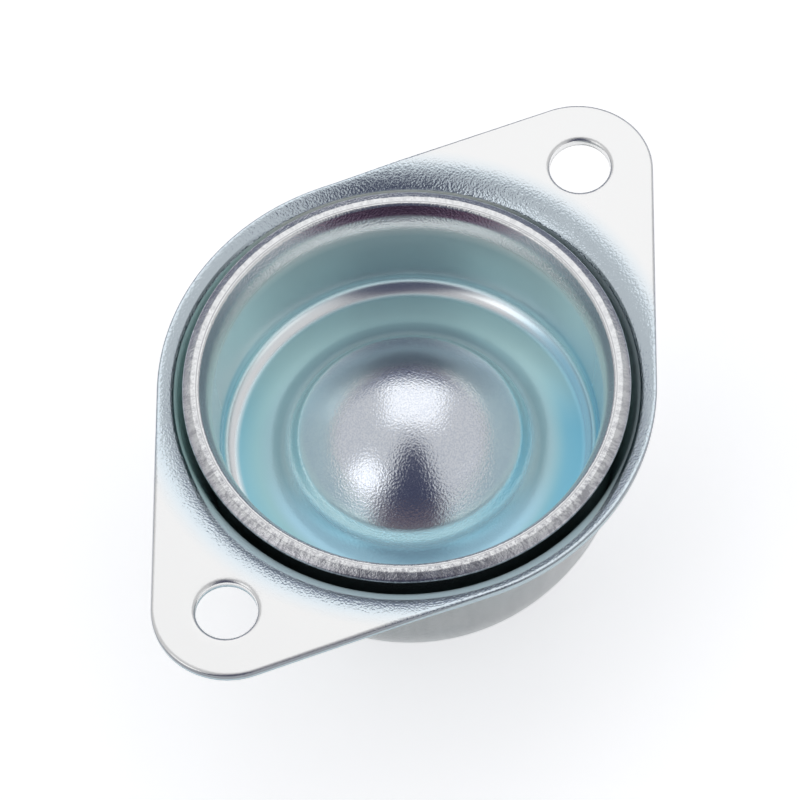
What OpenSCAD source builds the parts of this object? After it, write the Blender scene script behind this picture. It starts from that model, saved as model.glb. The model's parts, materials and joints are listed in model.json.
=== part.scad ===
// Ball transfer unit with a two-hole flange, in pressed steel.
// A housing drawn from one sheet with its flange holds a race cup, one large
// load ball and the small support balls that the load ball rolls on.
// Millimetres. The origin is the centre of the mounting face, midway between
// the two holes. +X runs through the holes, and the load ball points down.

/* [Flange] */
// Distance between the two mounting holes
hole_spacing = 48; // [46:0.5:60]
// Diameter of the mounting holes
hole_d = 4.8; // [3.2:0.1:5.8]
// Rounding of a hole's upper edge, where the punch went in
hole_edge_r = 0.25; // [0.1:0.05:0.4]
// Radius of the round end of each ear
ear_r = 6; // [5:0.1:7.5]
// How far each hole lies outside the centre of its ear's round end
ear_inset = 0.35; // [0:0.05:1]
// Half of the flange's width across its waist
waist_r = 19.5; // [18.5:0.1:21]
// Thickness of the housing and flange sheet
sheet_t = 0.8; // [0.6:0.05:1]

/* [Housing] */
// Radius by which the mouth's bend runs out past the trimmed waist
waist_trim = 0.95; // [0.5:0.05:1.2]
// Radius of the bend from the flange into the wall, on the upper side
draw_r = 2.8; // [2.2:0.1:3.4]
// Lean of the wall from upright, in degrees
wall_lean = 13; // [10:0.5:16]
// Radius at which the lower wall curves in, on the inside
dome_r = 20.9; // [17:0.1:26]
// Lean from upright at which the shoulder takes over, in degrees
shoulder_lean = 30; // [25:1:36]
// Radius of the shoulder, on the inside
shoulder_r = 4.2; // [3:0.1:5]
// How far past the load ball's centre the housing closes round it
ball_grip = 2.8; // [2.3:0.1:3.4]

/* [Race cup] */
// Thickness of the race cup's sheet
cup_t = 1.2; // [1:0.05:1.4]
// Depth of the cup's flat floor below the mounting face
floor_depth = 9.8; // [8.5:0.1:11.8]
// Height of the cup's lip above the mounting face
lip_height = 0.35; // [-0.3:0.05:0.6]
// Radius between the floor and the cup's wall, on the upper side
corner_r = 1.5; // [1.2:0.1:2]
// Lean of the cup's wall from upright, in degrees
cup_lean = 2.5; // [1.5:0.5:6]
// Lean of the flared lip from upright, in degrees
lip_lean = 30; // [20:1:35]
// Radius of the bend into the lip, on the upper side
flare_r = 4.3; // [3.4:0.1:4.8]
// Length of the straight lip
lip_length = 0.9; // [0.7:0.05:1.2]
// Rounding of the lip's inner edge
lip_round = 0.5; // [0.2:0.05:0.6]
// Angle that the central bump's dome takes in, from its top to its foot
foot_angle = 59.25; // [56:0.25:62]
// Radius of the fillet at the bump's foot, on the upper side
bump_fillet_r = 1; // [0.8:0.1:1.4]

/* [Balls] */
// Diameter of the load ball
ball_d = 15.875; // [13.2:0.001:19.1]
// Diameter of each support ball
support_d = 2; // [1.6:0.05:2.4]
// Rings of support balls round the top one
support_rings = 4; // [2:1:4]

/* [Fits] */
// Running clearance on each side of a support ball
ball_play = 0.04; // [0.02:0.01:0.1]
// Clearance between neighbouring support balls
support_gap = 0.05; // [0.02:0.01:0.1]
// Clearance between the load ball and the edge of its opening
opening_gap = 0.15; // [0.1:0.01:0.3]
// Clearance of the race cup in the housing, square to the wall
cup_fit = 0.02; // [0.01:0.01:0.05]

/* [Hidden] */
$fn = 96;

// Race, bump and the places of the balls. The race is the bump's underside, so
// it shares its centre with the load ball.
race_r = ball_d / 2 + support_d + 2 * ball_play;
bump_r = race_r + cup_t;
foot_arm = bump_r + bump_fillet_r;
bump_foot_r = foot_arm * sin(foot_angle);
ball_z = -floor_depth + bump_fillet_r - foot_arm * cos(foot_angle);

// Housing, on the inside of its sheet: mouth bend, wall, dome and shoulder.
mouth_r = waist_r + waist_trim;
wall_top = [mouth_r - draw_r * cos(wall_lean), -draw_r * (1 - sin(wall_lean))];
end_z = ball_z - ball_grip;
dome_end_z = end_z + shoulder_r * (1 - sin(shoulder_lean));
wall_end_z = dome_end_z + dome_r * (sin(shoulder_lean) - sin(wall_lean));
wall_length = (wall_top[1] - wall_end_z) / cos(wall_lean);
wall_end_x = wall_top[0] - wall_length * sin(wall_lean);
shoulder_x = wall_end_x - dome_r * cos(wall_lean)
           + (dome_r - shoulder_r) * cos(shoulder_lean);
opening_r = sqrt(pow(ball_d / 2 + opening_gap, 2) - pow(ball_grip, 2));

// Race cup: its outer corner seats against the housing's wall.
corner_z = -floor_depth + corner_r;
seat_reach = corner_r + cup_t + cup_fit;
corner_x = wall_top[0] - (wall_top[1] - corner_z) * tan(wall_lean)
         - seat_reach / cos(wall_lean);
cup_wall_foot_z = corner_z - corner_r * sin(cup_lean);
lip_tip_z = lip_height + lip_round * (cos(lip_lean) + sin(lip_lean) - 1);
lip_foot_z = lip_tip_z - lip_length * cos(lip_lean);
cup_wall_top_z = lip_foot_z - flare_r * (sin(lip_lean) - sin(cup_lean));
cup_wall_length = (cup_wall_top_z - cup_wall_foot_z) / cos(cup_lean);

// Flange outline: two ears joined to the round waist by tangent lines.
ear_x = hole_spacing / 2 - ear_inset;
flank_angle = acos((waist_r - ear_r) / ear_x);

// Support balls: ring by ring, as many in each as the ring has room for.
support_path_r = race_r - ball_play - support_d / 2;
support_pitch = support_d + support_gap;
ring_step = asin(support_pitch / support_path_r);
function ring_r(ring) = support_path_r * sin(ring * ring_step);
function ring_count(ring) =
    ring == 0 ? 1 : floor(180 / asin(support_pitch / 2 / ring_r(ring)) + 0.001);
support_places = [
    for (ring = [0 : support_rings], i = [0 : ring_count(ring) - 1])
        [ring * ring_step, 360 * i / ring_count(ring)]
];
SUPPORT_NAMES = [for (i = [1 : len(support_places)]) str("support_ball_", i < 10 ? "0" : "", i)];

// How far a lapping piece is tucked inside the faces of the pieces it joins.
TUCK = 0.001;
// How far a lapping piece runs on past its two ends.
LAP = 0.02;
// Half-width of the squares that clip a bend, larger than any radius here.
CLIP = 60;

function on_circle(centre, r, angle) = centre + r * [cos(angle), sin(angle)];

// A sheet's section is laid down as a chain, each step carrying the next one
// at its end: run() goes straight, turn_up() and turn_down() bend. The chain
// follows the sheet's upper surface and sheet thickness t lies below it.
// Every second step laps its neighbours, so that the steps always fuse.
module run(length, t, laps = false) {
    lap = laps ? LAP : 0;
    tuck = laps ? TUCK : 0;
    translate([-lap, tuck - t]) square([length + 2 * lap, t - 2 * tuck]);
    translate([length, 0]) children();
}

// The part of a ring between two radii that a bend by angle takes in.
module bend(r_in, r_out, angle, lap) {
    intersection() {
        difference() {
            circle(r_out);
            circle(r_in);
        }
        translate([-lap, -CLIP]) square([CLIP, 2 * CLIP]);
        rotate(angle) translate([lap - CLIP, -CLIP]) square([CLIP, 2 * CLIP]);
    }
}

module turn_up(r, angle, t, laps = false) {
    tuck = laps ? TUCK : 0;
    translate([0, r]) {
        bend(r + tuck, r + t - tuck, angle, laps ? LAP : 0);
        rotate(angle) translate([0, -r]) children();
    }
}

module turn_down(r, angle, t, laps = false) {
    tuck = laps ? TUCK : 0;
    translate([0, -r]) {
        bend(r - t + tuck, r - tuck, -angle, laps ? LAP : 0);
        rotate(-angle) translate([0, r]) children();
    }
}

// One quarter of a square edge's corner, for rounding a hole's upper edge.
module edge_round(r_edge, r_round) {
    rotate_extrude() difference() {
        translate([r_edge - r_round, -r_round]) square([2 * r_round, 2 * r_round]);
        translate([r_edge + r_round, -r_round]) circle(r_round);
    }
}

module flange_outline() {
    circle(waist_r);
    for (side = [1, -1]) mirror([side < 0 ? 1 : 0, 0]) {
        translate([ear_x, 0]) circle(ear_r);
        polygon([
            on_circle([0, 0], waist_r - TUCK, flank_angle),
            on_circle([0, 0], waist_r - TUCK, -flank_angle),
            on_circle([ear_x, 0], ear_r - TUCK, -flank_angle),
            on_circle([ear_x, 0], ear_r - TUCK, flank_angle)
        ]);
    }
}

// The housing's section, from the rim of a round blank in to the opening.
module housing_section() {
    blank_r = ear_x + ear_r + 2;
    translate([blank_r, 0]) mirror([1, 0])
        run(blank_r - mouth_r, sheet_t)
        turn_down(draw_r, 90 - wall_lean, sheet_t, laps = true)
        run(wall_length, sheet_t)
        turn_up(dome_r, shoulder_lean - wall_lean, sheet_t, laps = true)
        turn_up(shoulder_r, 90 - shoulder_lean, sheet_t)
        run(shoulder_x - opening_r - LAP, sheet_t, laps = true);
}

module housing() color([0.78, 0.80, 0.81]) {
    difference() {
        intersection() {
            rotate_extrude() housing_section();
            translate([0, 0, end_z - 2]) linear_extrude(3 - end_z) flange_outline();
        }
        for (side = [1, -1]) translate([side * hole_spacing / 2, 0, 0]) {
            translate([0, 0, -2 * sheet_t]) cylinder(d = hole_d, h = 3 * sheet_t);
            edge_round(hole_d / 2, hole_edge_r);
        }
    }
}

// The lip's section: a straight end with its upper corner rounded.
module lip() {
    difference() {
        run(lip_length, cup_t);
        translate([lip_length - lip_round, -lip_round]) difference() {
            square(2 * lip_round);
            circle(lip_round);
        }
    }
}

// The race cup's section, from the top of its bump out to its lip.
module race_cup_section() {
    translate([0, ball_z + bump_r])
        turn_down(bump_r, foot_angle, cup_t)
        turn_up(bump_fillet_r, foot_angle, cup_t, laps = true)
        run(corner_x - bump_foot_r, cup_t)
        turn_up(corner_r, 90 - cup_lean, cup_t, laps = true)
        run(cup_wall_length, cup_t)
        turn_down(flare_r, lip_lean - cup_lean, cup_t, laps = true)
        lip();
}

module race_cup() color([0.62, 0.74, 0.76]) rotate_extrude() race_cup_section();

module load_ball() color([0.80, 0.82, 0.84]) translate([0, 0, ball_z]) sphere(d = ball_d);

module support_ball(place) color([0.70, 0.72, 0.74])
    translate([0, 0, ball_z]) rotate([0, place[0], place[1]])
        translate([0, 0, support_path_r]) sphere(d = support_d, $fn = 32);

housing();
race_cup();
load_ball();
for (i = [0 : len(support_places) - 1])
    support_ball(support_places[i]);
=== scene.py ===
import json
from math import acos, cos, pi, radians, sin, sqrt

import bpy
import numpy as np
from mathutils import Matrix, Vector
from mathutils.geometry import delaunay_2d_cdt


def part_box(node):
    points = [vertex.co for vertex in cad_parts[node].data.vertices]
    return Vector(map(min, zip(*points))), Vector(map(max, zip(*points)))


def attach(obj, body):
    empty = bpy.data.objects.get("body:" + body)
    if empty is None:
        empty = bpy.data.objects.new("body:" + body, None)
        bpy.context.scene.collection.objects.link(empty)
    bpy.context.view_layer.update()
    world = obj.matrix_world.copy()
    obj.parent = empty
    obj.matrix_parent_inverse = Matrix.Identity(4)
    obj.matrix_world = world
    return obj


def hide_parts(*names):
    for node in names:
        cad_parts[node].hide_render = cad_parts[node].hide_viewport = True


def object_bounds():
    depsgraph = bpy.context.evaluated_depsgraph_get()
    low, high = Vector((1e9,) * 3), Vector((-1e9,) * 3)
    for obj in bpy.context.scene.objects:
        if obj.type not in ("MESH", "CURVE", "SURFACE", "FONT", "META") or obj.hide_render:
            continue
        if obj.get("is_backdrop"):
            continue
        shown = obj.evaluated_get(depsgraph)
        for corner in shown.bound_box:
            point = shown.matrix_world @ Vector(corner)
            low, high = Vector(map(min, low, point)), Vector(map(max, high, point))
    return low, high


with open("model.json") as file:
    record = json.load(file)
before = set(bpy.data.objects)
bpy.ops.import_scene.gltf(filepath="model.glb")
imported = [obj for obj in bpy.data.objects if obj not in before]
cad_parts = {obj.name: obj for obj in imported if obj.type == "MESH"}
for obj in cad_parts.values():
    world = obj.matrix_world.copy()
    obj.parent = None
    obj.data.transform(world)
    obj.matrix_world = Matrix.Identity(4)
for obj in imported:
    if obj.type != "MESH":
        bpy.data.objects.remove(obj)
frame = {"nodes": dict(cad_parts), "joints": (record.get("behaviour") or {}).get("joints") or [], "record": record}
cad_low, cad_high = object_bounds()
MM = 0.001

# ---------------------------------------------------------------- sizes, in mm
# Some come from the record and the solids. The rest repeat part.scad, which
# this script can't read.
mounts = {m["name"]: m for m in frame["record"]["mounts"]}
joints = {j["name"]: j for j in frame["joints"]}
hole_x = mounts["flange_holes"]["dims"]["spacing_x_mm"] / 2
hole_r = mounts["flange_holes"]["dims"]["hole_r_mm"]
ball_z = joints["load_ball_roll"]["pos_m"][2] / MM
ball_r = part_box("load_ball")[1].x / MM
half_length = cad_high.x / MM
waist_r = cad_high.y / MM
ear_r = 6.0
ear_x = half_length - ear_r
sheet_t, cup_t = 0.8, 1.2
draw_r, wall_lean = 2.8, radians(13)
waist_trim, opening_gap = 0.95, 0.15
mouth_r = waist_r + waist_trim
dome_r, shoulder_lean, shoulder_r = 20.9, radians(30), 4.2
end_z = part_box("housing")[0].z / MM + sheet_t
opening_r = sqrt((ball_r + opening_gap) ** 2 - (ball_z - end_z) ** 2)
wall_top_r = mouth_r - draw_r * cos(wall_lean)
wall_top_z = -draw_r * (1 - sin(wall_lean))
dome_end_z = end_z + shoulder_r * (1 - sin(shoulder_lean))
wall_end_z = dome_end_z + dome_r * (sin(shoulder_lean) - sin(wall_lean))
wall_length = (wall_top_z - wall_end_z) / cos(wall_lean)
wall_end_r = wall_top_r - wall_length * sin(wall_lean)
shoulder_x = wall_end_r - dome_r * cos(wall_lean)
shoulder_x += (dome_r - shoulder_r) * cos(shoulder_lean)

floor_z, lip_z = -9.8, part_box("race_cup")[1].z / MM
corner_r, flare_r, lip_length, lip_round = 1.5, 4.3, 0.9, 0.5
cup_lean, lip_lean, cup_fit = radians(2.5), radians(30), 0.02
race_gap = 2.08  # a support ball and its play on both sides
bump_r = ball_r + race_gap + cup_t
foot_angle, bump_fillet_r = radians(59.25), 1.0
corner_z = floor_z + corner_r


# ------------------------------------------------------------------- sections
class Chain:
    """Follows one face of a sheet, putting (r, z, normal r, normal z)."""

    def __init__(self, r, z, heading=0.0):
        self.r, self.z, self.h = r, z, heading
        self.points = []
        self.put()

    def put(self):
        self.points.append((self.r, self.z, -sin(self.h), cos(self.h)))

    def run(self, length, n):
        for _ in range(n):
            self.r += length / n * cos(self.h)
            self.z += length / n * sin(self.h)
            self.put()
        return self

    def turn(self, radius, angle, n):
        side = 1 if angle > 0 else -1
        for _ in range(n):
            cr = self.r - side * radius * sin(self.h)
            cz = self.z + side * radius * cos(self.h)
            self.h += angle / n
            self.r = cr + side * radius * sin(self.h)
            self.z = cz - side * radius * cos(self.h)
            self.put()
        return self


def mesh_object(name, verts, faces, body, nodes, material):
    """A piece from points in mm, which rides on a body and replaces CAD nodes."""
    mesh = bpy.data.meshes.new(name)
    mesh.from_pydata([(x * MM, y * MM, z * MM) for x, y, z in verts], [], faces)
    mesh.polygons.foreach_set("use_smooth", [True] * len(mesh.polygons))
    mesh.materials.append(material)
    mesh.update()
    obj = bpy.data.objects.new(name, mesh)
    bpy.context.scene.collection.objects.link(obj)
    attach(obj, body)
    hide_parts(*nodes)
    return obj


def mark(obj, name, chosen):
    """A named attribute that is 1 on the chosen points of a mesh."""
    values = np.zeros(len(obj.data.vertices))
    values[list(chosen)] = 1.0
    obj.data.attributes.new(name, "FLOAT", "POINT").data.foreach_set("value", values)


def lathe(section, n):
    """Verts and faces of a section of (r, z) turned about Z, axis to axis."""
    verts, rings, faces = [], [], []
    for r, z in section:
        if r < 1e-6:
            rings.append([len(verts)] * n)
            verts.append((0.0, 0.0, z))
        else:
            rings.append(range(len(verts), len(verts) + n))
            verts += [(r * cos(2 * pi * i / n), r * sin(2 * pi * i / n), z) for i in range(n)]
    for a, b in zip(rings, rings[1:]):
        for i in range(n):
            j = (i + 1) % n
            face = [a[i], b[i], b[j], a[j]]
            face = [v for k, v in enumerate(face) if v != face[k - 1]]
            if len(face) > 2:
                faces.append(face)
    return verts, faces


# ------------------------------------------------------------------ materials
class Nodes:
    """Short ways to add and join the nodes of one material or world."""

    def __init__(self, owner):
        self.owner = owner
        owner.use_nodes = True
        self.tree = owner.node_tree
        self.coord = self.add("ShaderNodeTexCoord")
        self.place = self.coord.outputs["Object"]

    def add(self, kind, **settings):
        node = self.tree.nodes.new(kind)
        for key, value in settings.items():
            setattr(node, key, value)
        return node

    def join(self, a, b):
        if isinstance(a, (int, float)):
            b.default_value = a
        elif isinstance(a, tuple):
            b.default_value = (*a, 1) if len(a) == 3 and len(b.default_value) == 4 else a
        else:
            self.tree.links.new(a, b)

    def math(self, operation, *values):
        node = self.add("ShaderNodeMath", operation=operation)
        for value, socket in zip(values, node.inputs):
            self.join(value, socket)
        return node.outputs[0]

    def times(self, a, b):
        return self.math("MULTIPLY", a, b)

    def plus(self, a, b):
        return self.math("ADD", a, b)

    def ranged(self, value, low, high, to_low=0.0, to_high=1.0):
        node = self.add("ShaderNodeMapRange", interpolation_type="SMOOTHSTEP")
        for v, socket in zip((value, low, high, to_low, to_high), node.inputs):
            self.join(v, socket)
        return node.outputs[0]

    def noise(self, scale, detail=2.0, rough=0.5, place=None, stretch=None):
        place = self.place if place is None else place
        if stretch:
            mapping = self.add("ShaderNodeMapping")
            self.join(place, mapping.inputs[0])
            mapping.inputs["Scale"].default_value = stretch
            place = mapping.outputs[0]
        node = self.add("ShaderNodeTexNoise")
        self.join(place, node.inputs["Vector"])
        node.inputs["Scale"].default_value = scale
        node.inputs["Detail"].default_value = detail
        node.inputs["Roughness"].default_value = rough
        return node.outputs["Fac"]

    def around(self, per_turn, across, per_mm):
        """A place that changes fast round Z and slowly across, for streaks."""
        angle = self.times(self.math("ARCTAN2", self.y, self.x), per_turn)
        node = self.add("ShaderNodeCombineXYZ")
        self.join(angle, node.inputs[0])
        self.join(self.times(across, per_mm), node.inputs[1])
        return node.outputs[0]

    def ramp(self, value, stops):
        node = self.add("ShaderNodeValToRGB")
        self.join(value, node.inputs[0])
        e = node.color_ramp.elements
        while len(e) < len(stops):
            e.new(0.5)
        for element, (at, colour) in zip(e, stops):
            element.position = at
            element.color = (*colour, 1)
        return node.outputs[0]

    def mix(self, share, a, b, blend="MIX"):
        node = self.add("ShaderNodeMix", data_type="RGBA", blend_type=blend)
        self.join(share, node.inputs[0])
        self.join(a, node.inputs[6])
        self.join(b, node.inputs[7])
        return node.outputs[2]

    def bump(self, height, strength, distance, normal=None):
        node = self.add("ShaderNodeBump")
        node.inputs["Distance"].default_value = distance
        self.join(strength, node.inputs["Strength"])
        self.join(height, node.inputs["Height"])
        if normal is not None:
            self.join(normal, node.inputs["Normal"])
        return node.outputs[0]

    def flag(self, name):
        """A value that mark() put on some of a mesh's points."""
        return self.add("ShaderNodeAttribute", attribute_name=name).outputs["Fac"]

    def dot(self, vector, fixed):
        node = self.add("ShaderNodeVectorMath", operation="DOT_PRODUCT")
        self.join(vector, node.inputs[0])
        node.inputs[1].default_value = fixed
        return node.outputs["Value"]


class Surface(Nodes):
    """A metal's material, with the place on the object in mm at hand."""

    def __init__(self, name):
        super().__init__(bpy.data.materials.new(name))
        self.shader = self.tree.nodes["Principled BSDF"]
        part = self.add("ShaderNodeSeparateXYZ")
        self.join(self.place, part.inputs[0])
        self.x, self.y, self.z = [self.math("DIVIDE", c, MM) for c in part.outputs]
        squares = self.plus(self.times(self.x, self.x), self.times(self.y, self.y))
        self.r = self.math("SQRT", squares)

    def finish(self, colour, rough, normal, metal=1.0):
        self.join(colour, self.shader.inputs["Base Color"])
        self.join(rough, self.shader.inputs["Roughness"])
        self.join(normal, self.shader.inputs["Normal"])
        self.join(metal, self.shader.inputs["Metallic"])
        return self.owner


# Level directions across the part, as the photograph shows it. A dot product
# with one is in metres, and n.x, n.y, n.z and n.r are in mm.
FAR = (0.830, 0.558, 0)
NEAR = (-0.830, -0.558, 0)
RIGHT = (0.558, -0.830, 0)
BLUE_SIDE = (0.57, -0.82, 0)
# Noise scale of the fine grain on both pressed pieces
GRAIN = 5800


def make_housing_zinc():
    """Bright zinc on the flange, and a drawn outside below it, duller and darkened partly as painted shade."""
    n = Surface("housing_zinc")
    cloud = n.noise(140, 3)
    colour = n.mix(cloud, (0.83, 0.83, 0.82), (0.87, 0.865, 0.855))
    # the mouth's bend has a bluish film, and the drawn outside is duller and darker, partly as painted shade, and
    # lighter towards the bottom
    over = n.ranged(n.r, mouth_r + 1.2, mouth_r - 0.7)
    colour = n.mix(over, colour, (0.67, 0.75, 0.80))
    outside = n.flag("outside")
    drawn = n.noise(1, 5, 0.75, n.around(14, n.z, 0.10))
    pulled = n.times(outside, n.ranged(n.z, -2.6, -5.0))
    # painted shade: the drawn outside is made much darker than the flange's zinc, on top of its duller finish
    dull_and_painted_shade = n.mix(n.ranged(drawn, 0.30, 0.70), (0.195, 0.215, 0.222), (0.255, 0.275, 0.28))
    patches = n.ranged(n.noise(70, 2), 0.35, 0.65, 0.0, 0.5)
    dull_and_painted_shade = n.mix(patches, dull_and_painted_shade, (0.90, 1.03, 1.06), "MULTIPLY")
    dull_and_painted_shade = n.mix(n.ranged(n.z, -12.0, -18.0, 0.0, 0.30), dull_and_painted_shade, (0.50, 0.52, 0.53))
    colour = n.mix(n.times(outside, n.ranged(n.z, -1.2, -2.6)), colour, dull_and_painted_shade)
    # the punched edge is darker than the face
    edge = n.flag("edge")
    colour = n.mix(n.times(edge, 0.9), colour, (0.20, 0.22, 0.25))
    # down in the gap the sheet has a pale green film, partly real and partly painted
    # light, past a painted shade line. The film starts higher up at the near side, its
    # colour goes round, and it is darker on the right and further down as painted shade
    inside = n.math("SUBTRACT", 1.0, outside)
    far = n.ranged(n.dot(n.place, FAR), 0.010, 0.016)
    near = n.ranged(n.dot(n.place, NEAR), 0.006, 0.014)
    depth = n.math("SUBTRACT", n.z, n.times(near, 0.36))
    deep = n.times(inside, n.ranged(depth, -0.78, -0.90))
    film_and_painted_light = n.mix(far, n.mix(near, (0.72, 1.00, 0.97), (0.66, 0.84, 0.90)), (0.90, 0.93, 0.88))
    # painted shade: the film is darker on the right side
    right = n.ranged(n.dot(n.place, RIGHT), 0.004, 0.012)
    film_and_painted_light = n.mix(n.times(right, n.math("SUBTRACT", 1.0, near)), film_and_painted_light, (0.42, 0.50, 0.52))
    # painted shade: the film darkens further down the gap
    colour = n.mix(deep, colour, n.mix(n.ranged(depth, -1.4, -3.0), film_and_painted_light, (0.40, 0.54, 0.54)))
    # painted shade: a dark line where the gap narrows
    line = n.times(n.ranged(depth, -0.64, -0.70), n.ranged(depth, -0.84, -0.78))
    faint = n.math("SUBTRACT", 0.8, n.math("MAXIMUM", far, n.times(near, 0.5)))
    line = n.times(n.times(line, inside), faint)
    colour = n.mix(line, colour, (0.10, 0.14, 0.15))
    # the sheet is grainier where it was stretched over the mouth's bend
    grain = n.noise(GRAIN, 1, 0.5)
    amount = n.plus(n.times(over, 0.50), 0.10)
    normal = n.bump(grain, amount, 0.00007)
    normal = n.bump(drawn, n.times(pulled, 0.15), 0.00010, normal)
    rough = n.plus(n.times(cloud, 0.05), n.ranged(over, 0.0, 1.0, 0.24, 0.16))
    return n.finish(colour, rough, normal, n.ranged(deep, 0.0, 1.0, 1.0, 0.12))


def make_cup_zinc():
    """Zinc with a blue-green film, by radius and up the wall by height, with painted highlights, painted light and
    painted shade in places.
    """
    n = Surface("cup_zinc")
    # the passivation film: silver on the bump, cyan on the floor, silver corner, with a painted highlight ring
    # near the bump's foot and a white painted highlight ring at the corner
    film_and_painted_light = n.ramp(n.math("DIVIDE", n.r, 20), [
        (0.000, (0.86, 0.875, 0.91)),
        (0.415, (0.84, 0.87, 0.92)),
        (0.440, (0.94, 1.00, 1.00)),
        (0.470, (0.92, 1.00, 1.00)),
        (0.520, (0.48, 0.67, 0.72)),
        (0.560, (0.47, 0.71, 0.77)),
        (0.610, (0.43, 0.73, 0.77)),
        (0.675, (0.34, 0.70, 0.81)),
        (0.700, (1.00, 1.00, 1.00)),
        (0.750, (0.90, 0.96, 0.97)),
    ])
    # one side of the floor is bluer
    blue = n.ranged(n.dot(n.place, BLUE_SIDE), 0.006, 0.013)
    blue = n.times(blue, n.ranged(n.r, 11.0, 12.6))
    film_and_painted_light = n.mix(n.times(blue, 0.8), film_and_painted_light, (0.20, 0.58, 0.78))
    # painted light: brighter across the far side, and a brighter blue close to the bump at the near side
    far = n.dot(n.place, FAR)
    outer = n.times(n.ranged(n.r, 10.4, 12.0), n.ranged(n.r, 14.0, 13.4))
    film_and_painted_light = n.mix(n.times(n.ranged(far, 0.001, 0.009), outer), film_and_painted_light, (0.66, 0.96, 0.97))
    foot = n.times(n.ranged(n.r, 9.2, 9.9), n.ranged(n.r, 12.2, 11.2))
    film_and_painted_light = n.mix(n.times(n.ranged(far, -0.002, -0.008), foot), film_and_painted_light, (0.52, 0.84, 1.00))
    # up the wall from a white painted highlight at the corner, then the flare and the lip
    wall = n.ramp(n.math("DIVIDE", n.plus(n.z, 9.6), 10), [
        (0.000, (1.00, 1.00, 1.00)),
        (0.060, (0.62, 0.80, 0.86)),
        (0.140, (0.56, 0.67, 0.70)),
        (0.660, (0.62, 0.72, 0.72)),
        (0.770, (0.98, 1.00, 0.95)),
        (0.880, (0.98, 0.99, 0.93)),
        (0.925, (0.66, 0.66, 0.69)),
        (0.970, (0.66, 0.65, 0.68)),
        (0.985, (0.80, 0.80, 0.80)),
    ])
    # a purple tint with painted shade round the lip's inside at the far side, a dark
    # purple painted shade down the wall at the near one, a paler band of painted light
    # on the wall and a blue band at its foot
    lip_tint_and_painted_shade = n.times(n.ranged(far, 0.0125, 0.0155), n.ranged(n.z, -0.75, -0.45))
    near_wall_painted_shade = n.times(n.ranged(far, -0.0125, -0.0150), n.ranged(n.z, -7.0, -4.0))
    inner = n.times(n.ranged(n.z, 0.25, 0.12), n.ranged(n.r, 16.45, 16.30))
    side = n.times(n.ranged(far, 0.013, 0.007), n.ranged(n.z, -1.6, -2.6))
    # painted light: a paler band on the wall, away from the far side
    wall = n.mix(side, wall, (0.84, 1.00, 1.00))
    low = n.times(n.ranged(n.z, -7.4, -8.4), n.ranged(n.z, -9.35, -9.05))
    low = n.times(low, n.ranged(far, 0.012, 0.003))
    wall = n.mix(n.times(low, 0.85), wall, (0.50, 0.86, 0.98))
    # purple tint and painted shade round the far lip's inside
    wall = n.mix(n.times(lip_tint_and_painted_shade, inner), wall, (0.36, 0.22, 0.30))
    # painted shade: a dark patch down the near wall
    wall = n.mix(n.times(near_wall_painted_shade, inner), wall, (0.19, 0.15, 0.18))
    colour = n.mix(n.ranged(n.r, 14.2, 15.0), film_and_painted_light, wall)
    cloud = n.noise(200, 2)
    colour = n.mix(n.times(cloud, 0.2), colour, (0.80, 0.89, 0.92), "MULTIPLY")
    # streaks run across the sheared edge, which starts at a dark line
    cut = n.times(n.ranged(n.r, 16.40, 16.55), n.ranged(n.z, -0.35, -0.15))
    streak = n.noise(1, 5, 0.8, n.around(30, n.r, 0.9))
    strong = n.ranged(far, 0.002, -0.010, 0.35, 1.0)
    cut = n.times(cut, strong)
    darker = n.times(cut, n.ranged(streak, 0.42, 0.60, 0.0, 0.75))
    colour = n.mix(darker, colour, (0.30, 0.30, 0.33))
    line = n.times(n.ranged(n.r, 16.33, 16.37), n.ranged(n.r, 16.47, 16.42))
    line = n.times(line, n.ranged(n.z, 0.0, 0.1))
    colour = n.mix(n.times(line, 0.45), colour, (0.2, 0.2, 0.22))
    # the outside that shows in the gap is pale green, partly film and partly painted light, and dark as painted
    # shade at the near side
    outside = n.flag("outside")
    gap_painted_light_and_shade = n.mix(n.ranged(far, -0.006, -0.012), (0.80, 0.92, 0.92), (0.16, 0.19, 0.20))
    colour = n.mix(outside, colour, gap_painted_light_and_shade)
    grain = n.noise(GRAIN, 1, 0.5)
    on_bump = n.ranged(n.r, 12.0, 9.6)
    on_lip = n.ranged(n.z, -3.4, -1.8)
    speckle = n.times(n.ranged(n.noise(7500, 1), 0.40, 0.62), n.ranged(n.r, 9.0, 8.0))
    colour = n.mix(n.times(speckle, 0.5), colour, (0.72, 0.76, 0.84), "MULTIPLY")
    amount = n.plus(n.plus(n.times(on_bump, 0.36), n.times(on_lip, 0.45)), 0.03)
    normal = n.bump(grain, amount, 0.00006)
    normal = n.bump(streak, n.times(cut, 0.6), 0.00006, normal)
    rough = n.plus(n.ranged(n.r, 7.4, 9.6, -0.09, 0.0), 0.24)
    # the film is thick on the floor and thin on the bump, the wall and the lip
    on_floor = n.times(n.ranged(n.r, 9.0, 10.4), n.ranged(n.r, 14.2, 13.6))
    on_wall = n.times(n.ranged(n.r, 14.6, 15.0), n.ranged(n.z, -0.8, -2.2))
    thick = n.plus(n.times(on_floor, 0.66), n.times(on_wall, 0.38))
    return n.finish(colour, rough, normal, n.math("SUBTRACT", 1.0, thick))


def make_ball_steel(name, colour, rough):
    """Polished steel, a little cloudy, with fine scratches."""
    n = Surface(name)
    cloud = n.noise(300, 2)
    scratch = n.noise(4000, 2, 0.5, stretch=(1, 0.05, 1))
    normal = n.bump(scratch, 0.03, 0.00002)
    colour = n.mix(n.times(cloud, 0.3), colour, (0.46, 0.47, 0.49))
    return n.finish(colour, rough, normal)


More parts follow.
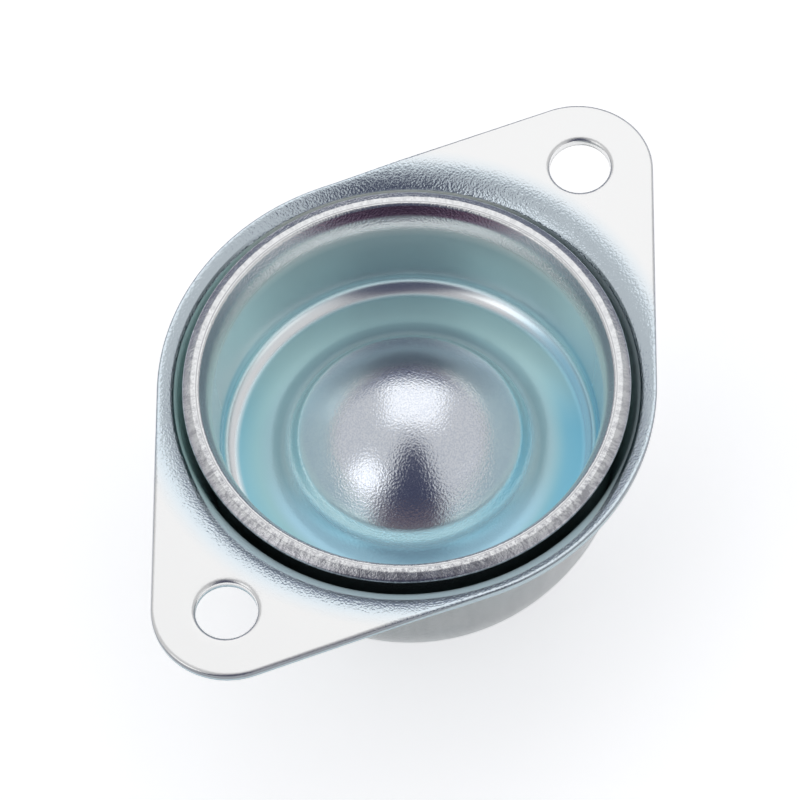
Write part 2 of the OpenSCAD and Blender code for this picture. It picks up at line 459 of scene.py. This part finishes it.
zinc_sheet = make_housing_zinc()
zinc_cup = make_cup_zinc()
ball_steel = make_ball_steel("load_ball_steel", (0.56, 0.57, 0.58), 0.07)
support_steel = make_ball_steel("support_ball_steel", (0.54, 0.55, 0.56), 0.12)

# ------------------------------------------------------------------- race cup
corner_x = wall_top_r - (wall_top_z - corner_z) * sin(wall_lean) / cos(wall_lean)
corner_x -= (corner_r + cup_t + cup_fit) / cos(wall_lean)
lip_tip_z = lip_z + lip_round * (cos(lip_lean) + sin(lip_lean) - 1)
lip_foot_z = lip_tip_z - lip_length * cos(lip_lean)
cup_wall_top_z = lip_foot_z - flare_r * (sin(lip_lean) - sin(cup_lean))
cup_wall_length = (cup_wall_top_z - corner_z + corner_r * sin(cup_lean)) / cos(cup_lean)


def cup_face(fine, lip, coined):
    """The cup's upper face from its axis to a lip of this length, as the CAD
    has it, or coined, with the dome's foot as the photograph shows it. A larger
    fine makes fewer steps."""
    c = Chain(0.0, ball_z + bump_r)
    if coined:
        # the dome is struck a little conical, down to a knuckle at its foot
        round_to, cone_to, steep = radians(38.2), radians(40.6), radians(62)
        cone_r, knuckle_r, foot_r = 52.0, 1.5, 2.4
        c.turn(bump_r, -round_to, 44).turn(cone_r, round_to - cone_to, 10)
        c.turn(knuckle_r, cone_to - steep, 8)
        c.run((c.z - floor_z - foot_r * (1 - cos(steep))) / sin(steep), 2)
        c.turn(foot_r, steep, 24)
    else:
        c.turn(bump_r, -foot_angle, 28).turn(bump_fillet_r, foot_angle, 8)
    c.run(corner_x - c.r, 12 // fine).turn(corner_r, pi / 2 - cup_lean, 24 // fine)
    c.run(cup_wall_length, 20 // fine).turn(flare_r, cup_lean - lip_lean, 16 // fine)
    return c.run(lip, 3)


# the lip's edge: a small round inside, a short flat, then a slope to a round
# outside, which ends where it meets the lower face. It stays a little below the
# top of the CAD's lip. The lower face is the CAD's, a sheet's thickness down
edge_z, inner_round, outer_round = lip_z - 0.01, 0.28, 0.3
edge_flat, flat_round, slope, tip_flare = 0.44, 0.3, radians(26), 0.24
low_lip = 0.6  # the lip's length along the lower face
lip_rise = (edge_z - inner_round * (1 - sin(lip_lean)) - lip_foot_z) / cos(lip_lean)
outer_face = cup_face(2, low_lip, False).points
low_r, low_z = [outer_face[-1][k] - outer_face[-1][k + 2] * cup_t for k in (0, 1)]
top = cup_face(1, lip_rise, True).turn(inner_round, lip_lean - pi / 2, 10)
top.run(edge_flat, 2).turn(flat_round, -slope, 6)
room = (low_r - top.r) * cos(lip_lean) - (low_z - top.z) * sin(lip_lean) + tip_flare
room -= outer_round * (1 + sin(lip_lean - slope))
top.run(room / cos(lip_lean - slope), 4).turn(outer_round, slope - pi / 2 - lip_lean, 18)
upper = [(p[0], p[1]) for p in top.points]
lower = [(r - nr * cup_t, z - nz * cup_t) for r, z, nr, nz in outer_face]
CUP_TURNS = 300  # as fine as staying under 200,000 triangles allows
verts, faces = lathe(upper + lower[::-1], CUP_TURNS)
cup = mesh_object("race_cup_press", verts, faces, "shell", ["race_cup"], zinc_cup)
# the lower face comes last in the mesh, and its middle is one point
total = len(cup.data.vertices)
mark(cup, "outside", range(total - (len(lower) - 1) * CUP_TURNS - 1, total))

# -------------------------------------------------------------------- housing
# the angles where the waist meets a flank, and where a flank meets its ear
flank = acos((waist_r - ear_r) / ear_x)
ear_edge = np.arctan2(ear_r * sin(flank), ear_x + ear_r * cos(flank))


def rim(angle):
    """Distance from the axis to the flange's outline at an angle."""
    a = abs(angle) % pi
    a = min(a, pi - a)
    if a >= flank:
        return waist_r
    if a >= ear_edge:
        return waist_r / cos(flank - a)
    return ear_x * cos(a) + sqrt(ear_r**2 - (ear_x * sin(a)) ** 2)


face = Chain(opening_r, end_z)
face.run(shoulder_x - opening_r, 3).turn(shoulder_r, pi / 2 - shoulder_lean, 12)
face.turn(dome_r, shoulder_lean - wall_lean, 14)
# the bend at the mouth is tighter below and easier above, and a little wider
# and shallower than the CAD's single radius makes it
tight_r, easy_r, meet = 0.95, 5.0, radians(31.5)
bend_drop = tight_r * (cos(meet) - sin(wall_lean)) + easy_r * (1 - cos(meet))
face.run(wall_length + (-wall_top_z - bend_drop) / cos(wall_lean), 8)
face.turn(tight_r, meet - pi / 2 + wall_lean, 24).turn(easy_r, -meet, 36).run(12, 2)
top_line = [(r, z) for r, z, nr, nz in face.points]
low_line = [(r - nr * sheet_t, z - nz * sheet_t) for r, z, nr, nz in face.points]
DRAW = 37  # where the draw bend starts in these lines


def height(line, r):
    """A line's height at a radius, past the start of the draw bend."""
    part = line[DRAW:]
    return float(np.interp(r, [q[0] for q in part], [q[1] for q in part]))


def spread(line, fixed, last, count):
    """Points along a line: as they are to radius fixed, then even steps to last."""
    points = line[: DRAW + 1] + [q for q in line[DRAW + 1 :] if q[0] < fixed - 0.02]
    return points + [(r, height(line, r)) for r in np.linspace(fixed, last, count)]


# The flange's edge, as (in from the outline, down from the face): it rolls over
# at the top, and then goes down
ROLL = [(0.36, 0.0), (0.24, 0.006), (0.14, 0.028), (0.07, 0.065), (0.02, 0.12), (0.0, 0.2)]
WALL = [(0.0, 0.42), (0.015, 0.5), (0.03, 0.6)]
EDGE_IN, LOW_IN, LOW_RISE = 0.5, 0.04, 0.03
EVEN, LOW_EVEN = 18.6, 18.9  # up to here the two lines stay as they are
TURNS = 480
columns = []
for i in range(TURNS):
    angle = 2 * pi * i / TURNS
    out = rim(angle)
    column = spread(top_line, EVEN, out - EDGE_IN, 26)
    column += [(out - d, height(top_line, out - d) - drop) for d, drop in ROLL]
    column += [(out - d, height(top_line, out) - drop) for d, drop in WALL]
    low = spread(low_line, LOW_EVEN, out - LOW_IN, 18)
    lowest = len(column)
    column += [(low[-1][0], low[-1][1] + LOW_RISE)] + low[::-1]
    columns.append([(r * cos(angle), r * sin(angle), z) for r, z in column])
rows = len(columns[0])
verts = [v for column in columns for v in column]
grid = []
for i in range(TURNS):
    j = (i + 1) % TURNS
    for k in range(rows):
        m = (k + 1) % rows
        grid.append((i * rows + k, i * rows + m, j * rows + m, j * rows + k))

# the two holes: nearby cells go, and each gap is filled up to the hole's rim
faces = []
HOLE_TURNS, HOLE_CLEAR, HOLE_ROLL_R = 96, 1.1, 0.42
# a hole's edge, as (out from its radius, down from the face)
HOLE_EDGE = [
    (0.3, 0.008), (0.2, 0.03), (0.11, 0.075), (0.05, 0.13), (0.01, 0.2),
    (0.0, 0.28), (0.0, 0.5), (0.02, 0.58), (0.03, 0.72),
]


def hole_ring(side, out, level):
    """Adds a ring of points round a hole, and returns their numbers."""
    start = len(verts)
    for i in range(HOLE_TURNS):
        a = 2 * pi * i / HOLE_TURNS
        x = side * hole_x + (hole_r + out) * cos(a)
        verts.append((x, (hole_r + out) * sin(a), level))
    return list(range(start, start + HOLE_TURNS))


def inside(x, y, flat, loop):
    """Whether a place lies inside a loop of edges between flat points."""
    hits = 0
    for a, b in loop:
        (ax, ay), (bx, by) = flat[a], flat[b]
        if (ay > y) != (by > y) and x < (bx - ax) * (y - ay) / (by - ay) + ax:
            hits += 1
    return hits % 2 == 1


for side in (1, -1):
    for level in (0.0, -sheet_t):
        near = set()
        for q, quad in enumerate(grid):
            if quad and all(
                abs(verts[v][2] - level) < 1e-4 and
                (verts[v][0] - side * hole_x) ** 2 + verts[v][1] ** 2 < (hole_r + HOLE_CLEAR) ** 2
                for v in quad
            ):
                near.add(q)
        used = {}
        for q in near:
            quad = grid[q]
            for a, b in zip(quad, quad[1:] + quad[:1]):
                key = (min(a, b), max(a, b))
                used[key] = used.get(key, 0) + 1
            grid[q] = None
        loop = [key for key, count in used.items() if count == 1]
        grow = HOLE_ROLL_R if level == 0.0 else 0.0
        rim_ring = hole_ring(side, grow, level)
        index = sorted({v for key in loop for v in key}) + rim_ring
        place = {v: i for i, v in enumerate(index)}
        edges = [(place[a], place[b]) for a, b in loop]
        edges += [(place[a], place[b]) for a, b in zip(rim_ring, rim_ring[1:] + rim_ring[:1])]
        flat = [Vector((verts[v][0], verts[v][1])) for v in index]
        done = delaunay_2d_cdt(flat, edges, [], 0, 1e-7)
        source = [o[0] if o else None for o in done[3]]
        for tri in done[2]:
            cx = sum(done[0][v][0] for v in tri) / 3
            cy = sum(done[0][v][1] for v in tri) / 3
            in_hole = (cx - side * hole_x) ** 2 + cy**2 < (hole_r + grow) ** 2 * 0.999
            if in_hole or not inside(cx, cy, flat, edges[: len(loop)]):
                continue
            tri = [index[source[v]] for v in tri]
            faces.append(tri if level == 0.0 else tri[::-1])
        if level == 0.0:
            top_rim = rim_ring
    # the hole's rolled edge and wall
    rings = [top_rim] + [hole_ring(side, out, -drop) for out, drop in HOLE_EDGE] + [rim_ring]
    for a, b in zip(rings, rings[1:]):
        for i in range(HOLE_TURNS):
            j = (i + 1) % HOLE_TURNS
            faces.append((a[i], a[j], b[j], b[i]))
faces += [quad for quad in grid if quad]
press = mesh_object(
    "housing_press", verts, faces, "shell", ["housing"], zinc_sheet
)
edge_from = lowest - len(WALL) - 2
mark(press, "outside", [i for i in range(TURNS * rows) if i % rows > lowest])
mark(press, "edge", [i for i in range(TURNS * rows) if edge_from <= i % rows <= lowest])

# ---------------------------------------------------------------------- balls
BALL_STEPS = 96
tilts = [pi * i / BALL_STEPS for i in range(BALL_STEPS + 1)]
half = [(ball_r * sin(tilt), ball_z + ball_r * cos(tilt)) for tilt in tilts]
verts, faces = lathe(half, 2 * BALL_STEPS)
mesh_object(
    "load_ball_round", verts, faces, "load_ball", ["load_ball"], ball_steel
)
# the support balls keep their CAD meshes, and get a better material
for o in frame["nodes"].values():
    if o.name.startswith("support_ball"):
        o.data.materials.clear()
        o.data.materials.append(support_steel)

# --------------------------------------------------------------------- camera
# Fitted to the outline, the holes and the rims in the photograph. The target
# is in halves of the CAD box's length and width, and the distance in lengths.
LENS, DISTANCE, TARGET = 279.3, 8.134, (-0.0507, -0.0228)
span = 2 * cad_high.x
cam_data = bpy.data.cameras.new("camera")
cam_data.sensor_width = 36
cam_data.lens = LENS
camera = bpy.data.objects.new("camera", cam_data)
bpy.context.scene.collection.objects.link(camera)
bpy.context.scene.camera = camera
# the direction from the object to the camera, with azimuth 0 towards -Y
azimuth, elevation, roll = radians(-51.506), radians(60.230), radians(3.972)
back = Vector((sin(azimuth) * cos(elevation), -cos(azimuth) * cos(elevation), sin(elevation)))
target = Vector((TARGET[0] * cad_high.x, TARGET[1] * cad_high.y, 0))
camera.location = target + back * DISTANCE * span
look = (-back).to_track_quat("-Z", "Y").to_matrix() @ Matrix.Rotation(-roll, 3, "Z")
camera.rotation_euler = look.to_euler()
cam_data.clip_start, cam_data.clip_end = 0.01, 100
right, above = look.col[0], look.col[1]

# --------------------------------------------------------------- floor, light
def plain(name, colour, rough):
    """A material for the floor."""
    m = bpy.data.materials.new(name)
    m.use_nodes = True
    shader = m.node_tree.nodes["Principled BSDF"]
    shader.inputs["Base Color"].default_value = (*colour, 1)
    shader.inputs["Roughness"].default_value = rough
    return m


def sheet(name, corners, mat):
    """One flat face that is no part of the object."""
    mesh = bpy.data.meshes.new(name)
    mesh.from_pydata([tuple(c) for c in corners], [], [tuple(range(len(corners)))])
    mesh.materials.append(mat)
    o = bpy.data.objects.new(name, mesh)
    bpy.context.scene.collection.objects.link(o)
    o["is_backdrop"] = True


def toward(across, up):
    """A direction from the object, in degrees right of and above the camera."""
    a, b = radians(across), radians(up)
    return back * cos(a) * cos(b) + above * cos(a) * sin(b) + right * sin(a)


side = 30 * span
ground = cad_low.z - 0.0003  # just below the load ball
FLOOR_GLOW = 0.52
corners = [(x * side, y * side, ground) for x, y in ((-1, -1), (1, -1), (1, 1), (-1, 1))]
white = plain("floor_white", (0.97, 0.97, 0.97), 0.9)
sheet("floor", corners, white)
# the floor shows white as a background, and lights nothing for that
n = Nodes(white)
path = n.add("ShaderNodeLightPath").outputs
reflected = n.math("MAXIMUM", path["Is Glossy Ray"], path["Is Transmission Ray"])
seen = n.math("MAXIMUM", path["Is Camera Ray"], reflected)
floor_shader = n.tree.nodes["Principled BSDF"]
floor_shader.inputs["Emission Color"].default_value = (1, 1, 1, 1)
n.join(n.times(seen, FLOOR_GLOW), floor_shader.inputs["Emission Strength"])

# the studio round it is grey. A dark wedge on the camera's side narrows from the
# horizon up to the top, and a dark band lies low on the far side
world = bpy.data.worlds.new("studio")
bpy.context.scene.world = world
n = Nodes(world)
ahead = n.coord.outputs["Generated"]
across = n.math("ABSOLUTE", n.math("ARCSINE", n.dot(ahead, tuple(right))))
up = n.math("ARCTAN2", n.dot(ahead, tuple(above)), n.dot(ahead, tuple(back)))
width = n.add("ShaderNodeMapRange")
wedge = (up, radians(31), radians(-55), radians(5), radians(39))
for value, socket in zip(wedge, width.inputs):
    n.join(value, socket)
edge = n.math("SUBTRACT", across, width.outputs[0])
dark = n.ranged(edge, radians(7), radians(-7))
dark = n.times(dark, n.ranged(up, radians(38), radians(22)))
behind = n.ranged(up, radians(86), radians(94))
behind = n.times(behind, n.ranged(up, radians(121), radians(115)))
grey = n.mix(behind, (0.63, 0.635, 0.65), (0.14, 0.165, 0.24))
grey = n.mix(dark, grey, (0.065, 0.070, 0.115))
n.join(grey, n.tree.nodes["Background"].inputs["Color"])
n.tree.nodes["Background"].inputs["Strength"].default_value = 1.0


def softbox(name, direction, distance, width, height, radiance):
    """A soft lamp that faces the object, with its sizes in metres."""
    data = bpy.data.lights.new(name, "AREA")
    data.shape, data.size, data.size_y = "RECTANGLE", width, height
    data.energy = radiance * pi * width * height
    o = bpy.data.objects.new(name, data)
    bpy.context.scene.collection.objects.link(o)
    o.location = direction * distance
    facing = (-direction).to_track_quat("-Z", "Y").to_matrix()
    o.rotation_euler = facing.to_euler()
    o.visible_camera = False


softbox("softbox_over", toward(1, 65), 0.6, 0.46, 0.44, 0.49)
softbox("softbox_left", toward(-41, -2), 0.6, 0.26, 0.32, 0.62)
softbox("softbox_right", toward(58, -12), 0.7, 0.36, 0.3, 0.3)

bpy.context.scene.view_settings.view_transform = "Standard"

low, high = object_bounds()
